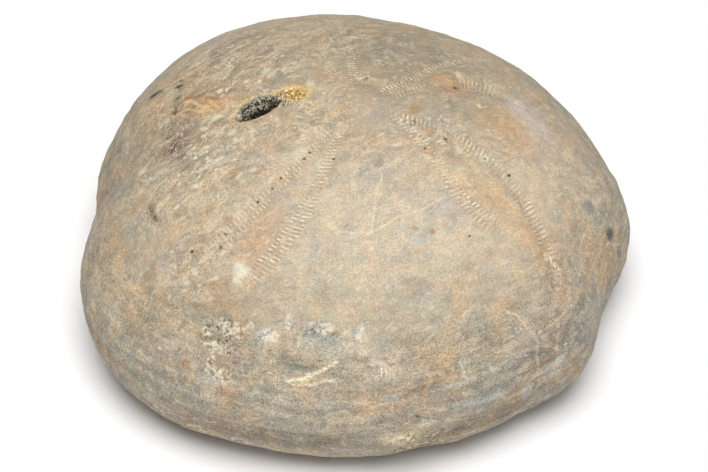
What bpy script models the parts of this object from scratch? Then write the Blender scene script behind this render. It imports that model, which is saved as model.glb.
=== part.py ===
"""Fossil sea urchin: the stone-filled test of an irregular urchin, modelled as one solid.

The test is a dome with a rounded margin and a flat base. Five petals, each a pair of pore zones,
spread from the apex. The front of the test, towards -X, carries a shallow notch. The base has a
flat resting ring around a slightly hollow floor with the mouth in the middle.

Lengths are metres and azimuths are degrees from +X towards +Y. A ratio is a share of the plan
radius. A position runs down the surface: 0 at the apex, 1 at the margin, 2 at the outer edge of
the resting ring and 3 at the middle of the base.
"""

import math

import bmesh
import bpy
from mathutils import Vector, noise

MM = 0.001

# Driving dimensions of the whole test.
PLAN_RADIUS = 44.0 * MM
HEIGHT = 41.0 * MM
MARGIN_HEIGHT = 12.0 * MM
RING_OUTER_RATIO = 0.77
RING_INNER_RATIO = 0.69

# Where the apex and the mouth stand, from the middle of the outline's box.
PLAN_CENTRE = (-0.55 * MM, -0.45 * MM)

# How full the curves are: 2 is an ellipse, more is squarer, less is flatter.
DOME_PLAN_FULLNESS = 2.07
DOME_HEIGHT_FULLNESS = 1.75
FLANK_FULLNESS = 2.1

# Swellings and hollows of the outline: azimuth, half width in degrees, height.
OUTLINE_LOBES = {
    "front_right_shoulder": (217.0, 29.0, 3.9 * MM),
    "front_left_shoulder": (126.0, 32.5, 3.4 * MM),
    "front_notch": (177.0, 11.5, -1.8 * MM),
    "rear_bulge": (0.0, 11.0, 1.7 * MM),
    "rear_hollow": (-22.0, 12.0, -0.8 * MM),
    "rear_right_corner": (-37.0, 11.0, 2.2 * MM),
    "rear_left_flat": (68.0, 22.0, -1.3 * MM),
}

# Pore zones, two to a petal: ratio at the inner and the outer end, then the azimuth at the inner
# end, half way along and at the outer end. The front petal is worn away around its hole.
PORE_ZONES = {
    "left_petal_front": (0.15, 0.72, 113.0, 111.0, 111.0),
    "left_petal_rear": (0.15, 0.72, 89.5, 95.5, 97.0),
    "right_petal_front": (0.17, 0.72, 236.0, 232.0, 227.5),
    "right_petal_rear": (0.17, 0.74, 250.0, 249.7, 241.0),
    "rear_left_petal_front": (0.14, 0.62, 35.0, 40.0, 41.5),
    "rear_left_petal_rear": (0.16, 0.58, 21.5, 26.5, 18.5),
    "rear_right_petal_front": (0.18, 0.66, 336.0, 317.5, 318.5),
    "rear_right_petal_rear": (0.20, 0.86, 344.0, 339.0, 322.5),
}
PORE_ZONE_DEPTH = 0.45 * MM
PORE_ZONE_HALF_WIDTH = 1.5 * MM
PORE_ZONE_FADE = 0.06

# The hole broken through the front petal, and its shallow end nearer the apex: X and Y of the
# middle, half length, half width, azimuth of the length, depth, and how sharply the wall turns down.
HOLE = (-16.1 * MM, 1.15 * MM, 3.2 * MM, 2.1 * MM, 26.0, 4.2 * MM, 6)
HOLE_TAIL = (-11.2 * MM, 2.35 * MM, 2.6 * MM, 1.6 * MM, 16.0, 0.9 * MM, 4)

# Dents and crusts: azimuth, position, half length around, half length up and down, height.
SURFACE_MARKS = {
    "crescent_chip": (260.0, 0.92, 5.5 * MM, 1.8 * MM, -0.8 * MM),
    "pitted_patch": (239.0, 0.91, 3.6 * MM, 5.0 * MM, -0.5 * MM),
    "upper_chip": (260.0, 0.83, 4.5 * MM, 1.8 * MM, -0.4 * MM),
    "base_crust": (281.0, 1.09, 4.2 * MM, 1.3 * MM, 0.5 * MM),
    "base_chip": (283.5, 1.40, 4.2 * MM, 3.0 * MM, -1.1 * MM),
}

# Broad unevenness of the stone.
UNEVEN_HEIGHT = 0.35 * MM
UNEVEN_LENGTH = 13.0 * MM

# The relief fades out between these positions, so the resting ring stays flat.
RELIEF_FADE_START = 1.65
RELIEF_FADE_END = 1.95

# The floor inside the resting ring: a shallow hollow, five grooves and the mouth.
FLOOR_RISE = 1.6 * MM
FLOOR_LEVEL_RATIO = 0.40
FLOOR_GROOVE_DEPTH = 0.6 * MM
FLOOR_GROOVE_HALF_WIDTH = 3.2 * MM
FLOOR_GROOVE_AZIMUTHS = (32.0, 103.0, 175.0, 242.0, 327.0)
MOUTH_DEPTH = 2.8 * MM
MOUTH_HALF_WIDTH = 4.6 * MM

# Mesh density: meridians, rows of faces on the dome, the flank and the base, and the cuts across
# each edge around the hole, out to this many half widths.
MERIDIANS = 116
DOME_ROWS = 24
FLANK_ROWS = 6
BASE_ROWS = 10
HOLE_CUTS = 2
HOLE_REACH = 1.5

STONE_COLOUR = (0.46, 0.36, 0.25, 1.0)
STONE_ROUGHNESS = 0.85
STONE_METALLIC = 0.0


def bell(distance, half_width):
    """1 at no distance, 0.37 at half_width and next to nothing at twice that."""
    return math.exp(-((distance / half_width) ** 2))


def smooth_step(low, high, value):
    share = min(max((value - low) / (high - low), 0.0), 1.0)
    return share * share * (3.0 - 2.0 * share)


def angle_between(first, second):
    """Signed difference of two azimuths, from -180 to 180 degrees."""
    return (first - second + 180.0) % 360.0 - 180.0


def plan_radius(azimuth):
    radius = PLAN_RADIUS
    for lobe_azimuth, half_width, height in OUTLINE_LOBES.values():
        radius += height * bell(angle_between(azimuth, lobe_azimuth), half_width)
    return radius


def floor_height(azimuth, ratio):
    """Height of the base's floor above the resting ring, which is 0 on the ring itself."""
    radius = ratio * plan_radius(azimuth)
    inside = smooth_step(RING_INNER_RATIO, FLOOR_LEVEL_RATIO, ratio)
    height = FLOOR_RISE * inside + MOUTH_DEPTH * bell(radius, MOUTH_HALF_WIDTH)
    for groove_azimuth in FLOOR_GROOVE_AZIMUTHS:
        turn = math.radians(angle_between(azimuth, groove_azimuth))
        if math.cos(turn) > 0.0:
            height += FLOOR_GROOVE_DEPTH * inside * bell(radius * math.sin(turn), FLOOR_GROOVE_HALF_WIDTH)
    return height


def base_ratio(position):
    """The first row under the base is the flat ring, and the others share what is left."""
    row = (position - 2.0) * BASE_ROWS
    if row <= 1.0:
        return RING_OUTER_RATIO + (RING_INNER_RATIO - RING_OUTER_RATIO) * row
    return RING_INNER_RATIO * (BASE_ROWS - row) / (BASE_ROWS - 1)


def smooth_point(azimuth, position):
    """Point of the test before its relief."""
    if position <= 1.0:
        ratio = position
        rise = max(1.0 - ratio**DOME_PLAN_FULLNESS, 0.0) ** (1.0 / DOME_HEIGHT_FULLNESS)
        height = MARGIN_HEIGHT + (HEIGHT - MARGIN_HEIGHT) * rise
    elif position <= 2.0:
        turn = math.radians(90.0 * (position - 1.0))
        spread = max(math.cos(turn), 0.0) ** (2.0 / FLANK_FULLNESS)
        ratio = RING_OUTER_RATIO + (1.0 - RING_OUTER_RATIO) * spread
        height = MARGIN_HEIGHT * (1.0 - math.sin(turn) ** (2.0 / FLANK_FULLNESS))
    else:
        ratio = base_ratio(position)
        height = floor_height(azimuth, ratio)
    radius = ratio * plan_radius(azimuth)
    turn = math.radians(azimuth)
    east = PLAN_CENTRE[0] + radius * math.cos(turn)
    north = PLAN_CENTRE[1] + radius * math.sin(turn)
    return Vector((east, north, height))


def zone_azimuth(zone, ratio):
    """Azimuth of a pore zone's middle line: the parabola through its three azimuths."""
    start, end, azimuth_start, azimuth_middle, azimuth_end = zone
    share = (ratio - start) / (end - start)
    return (
        azimuth_start * (1.0 - share) * (1.0 - 2.0 * share)
        + azimuth_middle * 4.0 * share * (1.0 - share)
        + azimuth_end * share * (2.0 * share - 1.0)
    )


def pore_zone_relief(azimuth, ratio):
    depth = 0.0
    for zone in PORE_ZONES.values():
        start, end = zone[0], zone[1]
        length_fade = smooth_step(start - PORE_ZONE_FADE, start, ratio)
        length_fade *= smooth_step(end + PORE_ZONE_FADE, end, ratio)
        if length_fade > 0.0:
            turn = math.radians(angle_between(azimuth, zone_azimuth(zone, ratio)))
            across = turn * ratio * plan_radius(azimuth)
            depth = max(depth, length_fade * bell(across, PORE_ZONE_HALF_WIDTH))
    return -PORE_ZONE_DEPTH * depth


def pit_distance(point, pit):
    """Distance from the middle of one of the hole's pits, in shares of its half sizes."""
    middle_x, middle_y, half_length, half_width, azimuth = pit[:5]
    turn = math.radians(azimuth)
    east, north = point.x - middle_x, point.y - middle_y
    along = (east * math.cos(turn) + north * math.sin(turn)) / half_length
    across = (north * math.cos(turn) - east * math.sin(turn)) / half_width
    return math.hypot(along, across)


def hole_relief(point):
    height = 0.0
    for pit in (HOLE, HOLE_TAIL):
        depth, power = pit[5:]
        height -= depth * math.exp(-(pit_distance(point, pit) ** power))
    return height


def mark_relief(point):
    height = 0.0
    for azimuth, position, half_around, half_down, mark_height in SURFACE_MARKS.values():
        offset = point - smooth_point(azimuth, position)
        turn = math.radians(azimuth)
        around = offset.dot(Vector((-math.sin(turn), math.cos(turn), 0.0)))
        down = math.sqrt(max(offset.length_squared - around * around, 0.0))
        height += mark_height * bell(around, half_around) * bell(down, half_down)
    return height


def relief(azimuth, position, point):
    """How far the surface stands out from the smooth test, along its normal."""
    if position >= RELIEF_FADE_END:
        return 0.0
    height = UNEVEN_HEIGHT * noise.noise(point / UNEVEN_LENGTH) + mark_relief(point)
    if position < 1.0:
        height += pore_zone_relief(azimuth, position) + hole_relief(point)
    return height * smooth_step(RELIEF_FADE_END, RELIEF_FADE_START, position)


def position_of_row(row):
    """Position of a ring of vertices, counted from the apex."""
    if row <= DOME_ROWS:
        return math.sin(math.radians(90.0 * row / DOME_ROWS)) ** (2.0 / DOME_PLAN_FULLNESS)
    if row <= DOME_ROWS + FLANK_ROWS:
        return 1.0 + (row - DOME_ROWS) / FLANK_ROWS
    return 2.0 + (row - DOME_ROWS - FLANK_ROWS) / BASE_ROWS


def place_on_ball(direction):
    """Azimuth and position of a direction from the middle of the ball, snapped to its rows."""
    azimuth = math.degrees(math.atan2(direction.y, direction.x))
    polar_share = math.acos(min(max(direction.normalized().z, -1.0), 1.0)) / math.pi
    row = polar_share * (DOME_ROWS + FLANK_ROWS + BASE_ROWS)
    if abs(row - round(row)) < 0.02:
        row = round(row)
    return azimuth, position_of_row(row)


def split_faces_at_hole(ball):
    """Smaller faces around the hole, so that its wall comes out steep."""
    edges = {}
    for face in ball.faces:
        azimuth, position = place_on_ball(face.calc_center_median())
        point = smooth_point(azimuth, position)
        nearest = min(pit_distance(point, HOLE), pit_distance(point, HOLE_TAIL))
        if position < 1.0 and nearest < HOLE_REACH:
            edges.update((edge.index, edge) for edge in face.edges)
    chosen = [edges[index] for index in sorted(edges)]
    bmesh.ops.subdivide_edges(ball, edges=chosen, cuts=HOLE_CUTS, use_grid_fill=True)


def shape_test(mesh):
    """Bend a ball's meridians and rings into the test, then raise and sink its relief."""
    rows = DOME_ROWS + FLANK_ROWS + BASE_ROWS
    ball = bmesh.new()
    bmesh.ops.create_uvsphere(ball, u_segments=MERIDIANS, v_segments=rows, radius=1.0)
    ball.edges.index_update()
    split_faces_at_hole(ball)
    places = {vertex: place_on_ball(vertex.co) for vertex in ball.verts}
    for vertex, (azimuth, position) in places.items():
        vertex.co = smooth_point(azimuth, position)
    ball.normal_update()
    for vertex, (azimuth, position) in places.items():
        vertex.co += vertex.normal * relief(azimuth, position, vertex.co)
    ball.to_mesh(mesh)
    ball.free()
    mesh.shade_smooth()


def make_stone():
    stone = bpy.data.materials.new("fossil_stone")
    stone.use_nodes = True
    shader = stone.node_tree.nodes["Principled BSDF"]
    shader.inputs["Base Color"].default_value = STONE_COLOUR
    shader.inputs["Roughness"].default_value = STONE_ROUGHNESS
    shader.inputs["Metallic"].default_value = STONE_METALLIC
    return stone


def make_sea_urchin(collection):
    mesh = bpy.data.meshes.new("sea_urchin")
    shape_test(mesh)
    mesh.materials.append(make_stone())
    urchin = bpy.data.objects.new("sea_urchin", mesh)
    collection.objects.link(urchin)
    return urchin


def main():
    for item in list(bpy.data.objects):
        bpy.data.objects.remove(item, do_unlink=True)
    collection = bpy.data.collections.new("fossil_sea_urchin")
    bpy.context.scene.collection.children.link(collection)
    make_sea_urchin(collection)


main()
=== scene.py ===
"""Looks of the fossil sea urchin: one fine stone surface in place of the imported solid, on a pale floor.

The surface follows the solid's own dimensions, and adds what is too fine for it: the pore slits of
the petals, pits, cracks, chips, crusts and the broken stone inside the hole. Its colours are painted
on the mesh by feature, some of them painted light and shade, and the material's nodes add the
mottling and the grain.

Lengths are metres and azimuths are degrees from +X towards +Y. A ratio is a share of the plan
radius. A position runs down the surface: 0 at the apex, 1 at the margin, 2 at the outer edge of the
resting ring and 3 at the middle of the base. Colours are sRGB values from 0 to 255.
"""

import math

import bmesh
import bpy
import numpy as np
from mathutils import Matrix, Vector, noise


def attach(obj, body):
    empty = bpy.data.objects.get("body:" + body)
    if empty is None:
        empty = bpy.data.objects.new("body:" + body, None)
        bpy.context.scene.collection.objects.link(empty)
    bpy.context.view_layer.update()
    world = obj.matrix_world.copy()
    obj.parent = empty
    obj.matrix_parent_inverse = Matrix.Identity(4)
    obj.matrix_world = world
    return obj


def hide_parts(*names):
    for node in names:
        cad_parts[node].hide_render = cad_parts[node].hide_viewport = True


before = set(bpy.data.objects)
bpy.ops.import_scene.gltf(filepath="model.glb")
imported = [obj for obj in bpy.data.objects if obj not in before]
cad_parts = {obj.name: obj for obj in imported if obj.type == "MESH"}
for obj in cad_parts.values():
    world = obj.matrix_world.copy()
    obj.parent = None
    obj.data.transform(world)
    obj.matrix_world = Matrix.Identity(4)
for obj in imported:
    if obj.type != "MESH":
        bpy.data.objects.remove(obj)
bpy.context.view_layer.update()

MM = 0.001

# ---------------------------------------------------------------------------------------------
# The solid's own dimensions.

PLAN_RADIUS = 44.0 * MM
HEIGHT = 41.0 * MM
MARGIN_HEIGHT = 12.0 * MM
RING_OUTER_RATIO = 0.77
RING_INNER_RATIO = 0.69
PLAN_CENTRE = (-0.55 * MM, -0.45 * MM)
DOME_PLAN_FULLNESS = 2.07
DOME_HEIGHT_FULLNESS = 1.75
FLANK_FULLNESS = 2.1

# Swellings and hollows of the outline: azimuth, half width in degrees, height.
OUTLINE_LOBES = {
    "front_right_shoulder": (217.0, 29.0, 3.9 * MM),
    "front_left_shoulder": (126.0, 32.5, 3.4 * MM),
    "front_notch": (177.0, 11.5, -1.8 * MM),
    "rear_bulge": (0.0, 11.0, 1.7 * MM),
    "rear_hollow": (-22.0, 12.0, -0.8 * MM),
    "rear_right_corner": (-37.0, 11.0, 2.2 * MM),
    "rear_left_flat": (68.0, 22.0, -1.3 * MM),
}

# Pore zones: ratio at the inner and the outer end, azimuth at the inner end, half way along and at
# the outer end, the side away from the petal's middle (+1 towards growing azimuths), and how clear
# the slits still are.
PORE_ZONES = {
    "left_petal_front": (0.15, 0.72, 113.0, 111.0, 111.0, 1, 0.75),
    "left_petal_rear": (0.15, 0.72, 89.5, 95.5, 97.0, -1, 1.0),
    "right_petal_front": (0.17, 0.72, 236.0, 232.0, 227.5, -1, 0.7),
    "right_petal_rear": (0.17, 0.74, 250.0, 249.7, 241.0, 1, 1.0),
    "rear_left_petal_front": (0.14, 0.62, 35.0, 40.0, 41.5, 1, 0.9),
    "rear_left_petal_rear": (0.16, 0.58, 21.5, 26.5, 18.5, -1, 0.6),
    "rear_right_petal_front": (0.18, 0.66, 336.0, 317.5, 318.5, -1, 1.0),
    "rear_right_petal_rear": (0.20, 0.86, 344.0, 339.0, 322.5, 1, 0.85),
}
PORE_ZONE_DEPTH = 0.45 * MM
PORE_ZONE_HALF_WIDTH = 1.5 * MM
PORE_ZONE_FADE = 0.06

# The hole broken through the front petal, and its shallow end: X and Y of the middle, half length,
# half width, azimuth of the length, depth, and how sharply the wall turns down.
HOLE = (-16.1 * MM, 1.15 * MM, 3.2 * MM, 2.1 * MM, 26.0, 4.2 * MM, 6)
HOLE_TAIL = (-11.2 * MM, 2.35 * MM, 2.6 * MM, 1.6 * MM, 16.0, 0.9 * MM, 4)

# Dents and crusts: azimuth, position, half length around, half length up and down, height.
SURFACE_MARKS = {
    "crescent_chip": (260.0, 0.92, 5.5 * MM, 1.8 * MM, -0.8 * MM),
    "pitted_patch": (239.0, 0.91, 3.6 * MM, 5.0 * MM, -0.5 * MM),
    "upper_chip": (260.0, 0.83, 4.5 * MM, 1.8 * MM, -0.4 * MM),
    "base_crust": (281.0, 1.09, 4.2 * MM, 1.3 * MM, 0.5 * MM),
    "base_chip": (283.5, 1.40, 4.2 * MM, 3.0 * MM, -1.1 * MM),
}

UNEVEN_HEIGHT = 0.35 * MM
UNEVEN_LENGTH = 13.0 * MM
RELIEF_FADE_START = 1.65
RELIEF_FADE_END = 1.95

# The floor inside the resting ring. The fine surface starts again between its two positions.
FLOOR_RELIEF = (2.15, 2.3)
FLOOR_RISE = 1.6 * MM
FLOOR_LEVEL_RATIO = 0.40
FLOOR_GROOVE_DEPTH = 0.6 * MM
FLOOR_GROOVE_HALF_WIDTH = 3.2 * MM
FLOOR_GROOVE_AZIMUTHS = (32.0, 103.0, 175.0, 242.0, 327.0)
MOUTH_DEPTH = 2.8 * MM
MOUTH_HALF_WIDTH = 4.6 * MM

# ---------------------------------------------------------------------------------------------
# What the fine surface adds.

# Mesh: faces along each edge of the cube that is blown up into the test, the polar angles of the
# margin and of the resting ring on that ball, the cuts across each edge near a feature, and the
# points along the path of a pore zone.
GRID_FACES = 86
MARGIN_POLAR = 98.0
RING_POLAR = 140.0
FINE_CUTS = 2
PATH_POINTS = 40

# Pore slits, in millimetres: distance from one to the next, half width, height, and the columns'
# middles and half lengths across the zone, from its middle line outwards. The slant is how far a
# slit moves along the zone for each millimetre outwards. Noise of two lengths makes the slits stray
# along the zone, and wears away up to a share of them.
SLIT_PITCH = 0.72
SLIT_HALF_WIDTH = 0.165
SLIT_HEIGHT = 0.08
INNER_COLUMN = (-0.98, 0.42)
OUTER_COLUMN = (0.66, 0.72)
SLIT_SLANT = 0.15
SLIT_WANDER = 0.20
SLIT_WANDER_LENGTH = 2.0
SLIT_WEAR = 0.4
SLIT_WEAR_LENGTH = 3.5

# The slits fade out between these distances from a zone's middle line, in millimetres, and from a
# little before its outer end to a little past it. Zones get narrower by a share towards the apex,
# from the first of two positions to the second.
ZONE_FADE_START = 1.4
ZONE_REACH = 1.9
ZONE_BEFORE_END = 0.06
ZONE_PAST_END = 0.03
APEX_NARROWING = 0.45
APEX_NARROWING_STARTS = 0.65
APEX_NARROWING_FULL = 0.20

# Where slits are worn away: azimuth, position, half sizes around and down in millimetres, and the
# share that is gone.
WORN_SLITS = {
    "rear_left_petal_rear": (24.0, 0.38, 3.0, 3.4, 0.95),
    "rear_right_petal_rear": (337.0, 0.60, 2.4, 3.0, 0.4),
    "rear_right_petal_high": (343.0, 0.36, 2.0, 3.0, 0.6),
    "rear_right_petal_low": (324.0, 0.83, 2.6, 3.0, 0.4),
    "right_petal_front_low": (228.0, 0.68, 2.6, 3.0, 0.5),
    "left_petal_front_low": (112.0, 0.60, 6.0, 6.0, 0.6),
}

# Pinholes: azimuth, position and radius. Within so many radii of one the faces are fine or finest,
# and there are no slits.
PINHOLE_DEPTH = 0.45 * MM
PINHOLE_FINE_REACH = 5.0
PINHOLE_FINEST_REACH = 2.5
PINHOLE_CLEAR_REACH = 1.8
PINHOLES = (
    (234.0, 0.254, 0.22 * MM),
    (234.0, 0.286, 0.22 * MM),
    (231.0, 0.387, 0.17 * MM),
    (231.0, 0.431, 0.17 * MM),
    (230.0, 0.494, 0.18 * MM),
    (228.0, 0.630, 0.22 * MM),
    (229.0, 0.670, 0.22 * MM),
    (254.0, 0.259, 0.20 * MM),
    (339.0, 0.358, 0.30 * MM),
    (339.0, 0.607, 0.24 * MM),
    (22.0, 0.368, 0.34 * MM),
    (24.0, 0.410, 0.34 * MM),
    (309.0, 0.643, 0.20 * MM),
    (324.0, 0.303, 0.20 * MM),
    (223.0, 0.720, 0.24 * MM),
    (206.0, 0.735, 0.20 * MM),
    (203.0, 0.775, 0.20 * MM),
    (238.0, 0.865, 0.18 * MM),
    (241.0, 0.888, 0.18 * MM),
    (242.0, 0.852, 0.18 * MM),
)

# Fine cracks and veins: half width and height in millimetres, colour and strength, then points of
# azimuth and position.
CREAM_VEIN = (228, 209, 176)
CRACKS = {
    "white_t_top": (0.18, 0.03, (228, 222, 210), 0.85, ((274, 0.905), (276, 0.901), (278, 0.913))),
    "white_t_stem": (0.16, 0.03, (228, 222, 210), 0.80, ((276, 0.901), (276, 0.925))),
    "short_streak": (0.17, 0.03, (228, 224, 212), 0.80, ((293.5, 0.928), (294, 0.959))),
    "lower_line_left": (0.16, 0.04, (222, 206, 172), 0.70, ((274, 1.011), (276, 1.013), (278, 1.021))),
    "lower_line_right": (0.16, 0.04, (222, 206, 172), 0.60, ((291, 1.003), (294, 1.030), (297, 1.054))),
    "rear_vein": (
        0.15, 0.06, CREAM_VEIN, 0.75,
        ((308, 0.869), (310, 0.887), (311, 0.917), (312, 0.938), (312, 0.954), (311, 0.971),
         (311, 0.986), (310, 1.061)),
    ),
    "rear_scratch": (
        0.16, 0.05, CREAM_VEIN, 0.55,
        ((313, 0.939), (318, 0.932), (322, 0.925), (326, 0.930)),
    ),
    "middle_arc": (
        0.15, 0.06, (236, 218, 184), 0.75,
        ((257, 0.496), (262, 0.530), (269, 0.542), (276, 0.545), (281, 0.53), (287, 0.507), (299, 0.505),
         (309, 0.497)),
    ),
    "upper_crack": (
        0.14, 0.04, (236, 218, 184), 0.70,
        ((287, 0.344), (283, 0.383), (280, 0.431), (278, 0.488), (276, 0.545)),
    ),
    "chip_crack": (0.25, 0.06, CREAM_VEIN, 0.6, ((274, 0.897), (277, 0.900), (280, 0.898))),
    "chip_crack_tail": (0.18, 0.05, CREAM_VEIN, 0.6, ((277, 0.900), (277, 0.929))),
    "white_streak": (
        0.40, 0.05, (224, 213, 203), 0.90,
        ((202, 0.559), (202, 0.531), (202, 0.506), (202, 0.478)),
    ),
    "upper_vein": (
        0.22, 0.04, (232, 204, 150), 0.85,
        ((163, 0.646), (164, 0.612), (167, 0.578), (169, 0.547), (168, 0.517)),
    ),
    "lower_vein": (
        0.20, 0.04, (228, 200, 148), 0.80,
        ((168, 0.656), (167, 0.629), (169, 0.593), (171, 0.566), (171, 0.531)),
    ),
    "curled_vein": (
        0.18, 0.04, (224, 196, 152), 0.75,
        ((165, 0.550), (167, 0.524), (171, 0.503), (172, 0.531), (169, 0.547)),
    ),
    "vein_shadow": (
        0.30, -0.05, (148, 108, 74), 0.70,
        ((161, 0.645), (162, 0.602), (162, 0.562), (165, 0.523)),
    ),
    "crescent_ridge": (
        0.30, 0.18, (240, 228, 200), 1.00,
        ((256, 0.941), (259, 0.935), (262, 0.922), (265, 0.904), (266, 0.897)),
    ),
    "crescent_low_ridge": (
        0.18, 0.08, (232, 220, 194), 0.85,
        ((257, 0.945), (261, 0.943), (264, 0.936), (266, 0.934)),
    ),
    # Painted shade: front_groove's darker colour stands for the shade in the groove.
    "front_groove": (
        0.55, -0.45, (165, 140, 112), 0.45,
        ((177, 1.05), (177, 0.980), (180, 0.921), (180, 0.860), (181, 0.758)),
    ),
}
CRACK_REACH = 0.7 * MM
CRACK_WANDER = 0.15 * MM
CRACK_WANDER_LENGTH = 1.2 * MM

# Crumbly places: azimuth, position, then in millimetres the half sizes around and down, the depth
# of the pits and their size. Their edges stray by a share of their half sizes, as far as the reach.
CRUMBLY_RAGGEDNESS = 0.35
CRUMBLY_RAGGED_LENGTH = 1.6 * MM
CRUMBLY_REACH = 1.6
CRUMBLY_PATCHES = {
    "pitted_patch_top": (241.0, 0.858, 2.6, 1.8, 0.22, 0.7),
    "pitted_patch_slot": (240.0, 0.905, 3.0, 1.3, 0.40, 0.9),
    "pitted_patch_left": (236.0, 0.885, 1.3, 2.2, 0.20, 0.7),
    "pitted_patch_border": (239.0, 0.937, 0.9, 2.8, 0.20, 0.6),
    "pitted_patch_foot": (242.0, 0.956, 2.4, 1.6, 0.20, 0.7),
    "chip_far_left": (245.5, 0.840, 0.8, 0.9, 0.12, 0.5),
    "chip_upper_left": (250.0, 0.855, 1.9, 1.3, 0.22, 0.6),
    "chip_upper_middle": (254.0, 0.818, 0.8, 1.5, 0.18, 0.5),
    "chip_upper_right": (261.5, 0.822, 2.8, 1.3, 0.20, 0.6),
    "chip_right": (271.5, 0.830, 0.9, 1.8, 0.20, 0.6),
    "base_crust": (280.5, 1.09, 3.2, 1.5, 0.55, 0.9),
    "base_crust_right": (286.5, 1.12, 3.0, 0.7, 0.20, 0.6),
    "base_chip": (284.0, 1.34, 4.6, 2.6, 0.50, 0.9),
    "rim_crumbs_left": (237.0, 1.28, 3.4, 1.4, 0.20, 0.6),
    "rim_crumbs_middle": (246.0, 1.33, 2.4, 0.9, 0.15, 0.5),
    "rim_crumbs_far_left": (229.0, 1.20, 3.0, 0.8, 0.15, 0.5),
    "rim_crumbs_right": (297.0, 1.25, 5.0, 0.7, 0.15, 0.5),
    "rear_petal_end": (325.0, 0.83, 0.9, 2.4, 0.10, 0.6),
    "rear_petal_start": (338.0, 0.21, 1.0, 1.6, 0.10, 0.5),
    "rear_petal_lumps": (339.0, 0.52, 1.0, 1.8, 0.10, 0.6),
    "left_petal_start": (78.0, 0.16, 1.3, 1.1, 0.08, 0.5),
}

# The hole's edge and its broken stone.
HOLE_EDGE = 0.003
CRYSTAL_HEIGHT = 0.45 * MM
CRYSTAL_LENGTH = 0.8 * MM

# Broad and fine unevenness that is too small for the solid: height and length of each.
ROLLING = (0.18 * MM, 5.0 * MM)
GRANULAR = (0.09 * MM, 1.6 * MM)

# Rings that follow the margin, low on the flank: height and distance from one to the next, how far
# they sway in radians of that distance, and the heights above the floor between which they fade out.
GROWTH_RINGS = (0.07 * MM, 2.3 * MM)
GROWTH_RING_SWAY = 3.0
GROWTH_RING_SWAY_LENGTH = 16.0 * MM
GROWTH_RING_TOP = 24.0 * MM
GROWTH_RING_FULL = 14.0 * MM

# ---------------------------------------------------------------------------------------------
# Colours.

STONE = (196, 179, 154)
# Rim colour: partly the stone's own, partly painted shade where the light falls off towards the rim.
RIM_STONE_AND_SHADE = (173, 160, 140)
LOW_STONE = (171, 163, 151)
UNDERSIDE_STONE = (158, 142, 118)
ORANGE_CLOUD = (194, 161, 124)
GREY_CLOUD = (168, 161, 145)
LILAC_CLOUD = (186, 172, 160)
GREEN_GREY_CLOUD = (168, 166, 150)
WARM_CLOUD = (208, 172, 132)
SLIT_CREAM = (241, 228, 199)
SLIT_SHADE = (146, 120, 92)
CRUST_SHADE = (108, 94, 78)
PINHOLE_PAINTED_SHADE = (40, 30, 24)
WISP_CREAM = (216, 201, 172)
HOLLOW_BROWN = (142, 121, 98)
FLECK_CREAM = (236, 224, 197)
SPECK_BLACK = (38, 34, 34)
HOLE_RIM = (234, 198, 124)
HOLE_ORANGE = (232, 194, 128)
HOLE_LUMP = (120, 92, 58)
HOLE_GREY = (186, 180, 162)
HOLE_PAINTED_SHADOW = (44, 43, 46)

# Tints: what they multiply red, green and blue by.
COOL_TINT = (0.92, 1.00, 1.07)
WARM_TINT = (1.09, 1.01, 0.89)

# Clouds of colour: length, seed and octaves of the noise, then for each colour the noise values
# where it starts and where it is full, and its strength.
CLOUDS = (
    (9.0 * MM, 21.0, 4, ((ORANGE_CLOUD, 0.0, 0.6, 0.5), (GREY_CLOUD, 0.0, -0.6, 0.5))),
    (3.2 * MM, 25.0, 3, ((GREEN_GREY_CLOUD, 0.1, 0.6, 0.35), (WARM_CLOUD, -0.1, -0.6, 0.35))),
    (8.0 * MM, 31.0, 3, ((LILAC_CLOUD, 0.1, 0.6, 0.5),)),
)

# Where cream wisps and flecks are thick, and where black specks are: azimuth, position, half sizes
# around and down in millimetres, strength. Small marks keep only this share of the wisps.
WISPY_ON_MARKS = 0.15
WISPY_ELSEWHERE = 0.35
WISPY_PLACES = {
    "front_left": (150.0, 0.55, 20.0, 17.0, 1.0),
    "front": (195.0, 0.55, 16.0, 16.0, 1.0),
    "front_right": (225.0, 0.72, 9.0, 12.0, 0.8),
    "apex": (200.0, 0.15, 7.0, 7.0, 0.9),
    "back_left": (95.0, 0.45, 14.0, 12.0, 0.7),
    "rear_petals": (335.0, 0.36, 7.0, 7.0, 0.8),
    "middle": (290.0, 0.25, 12.0, 8.0, 0.6),
}
SPECKLED_PLACES = {
    "mauve_patch": (184.5, 0.652, 3.2, 2.2, 1.0),
    "mauve_patch_top": (175.0, 0.688, 3.0, 1.3, 0.8),
    "mauve_patch_side": (174.0, 0.645, 1.0, 2.4, 0.7),
    "hole_tail": (166.0, 0.260, 1.6, 2.6, 1.0),
    "grey_streak": (205.0, 0.740, 2.8, 0.8, 0.9),
    "upper_left_spot": (155.0, 0.694, 1.3, 1.3, 1.0),
    "green_trickle": (164.0, 0.672, 1.2, 1.0, 0.9),
    "left_dark_spot": (154.0, 0.791, 1.2, 1.0, 1.0),
    "chips": (262.0, 0.835, 5.0, 1.6, 0.5),
    "crescent": (262.0, 0.900, 5.0, 1.6, 0.5),
    "pitted_patch": (240.0, 0.880, 4.0, 3.0, 0.6),
    "base_crust": (285.0, 1.130, 7.0, 1.2, 0.35),
    "rear_dark_spot": (349.0, 0.950, 1.4, 1.4, 0.6),
}
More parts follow.
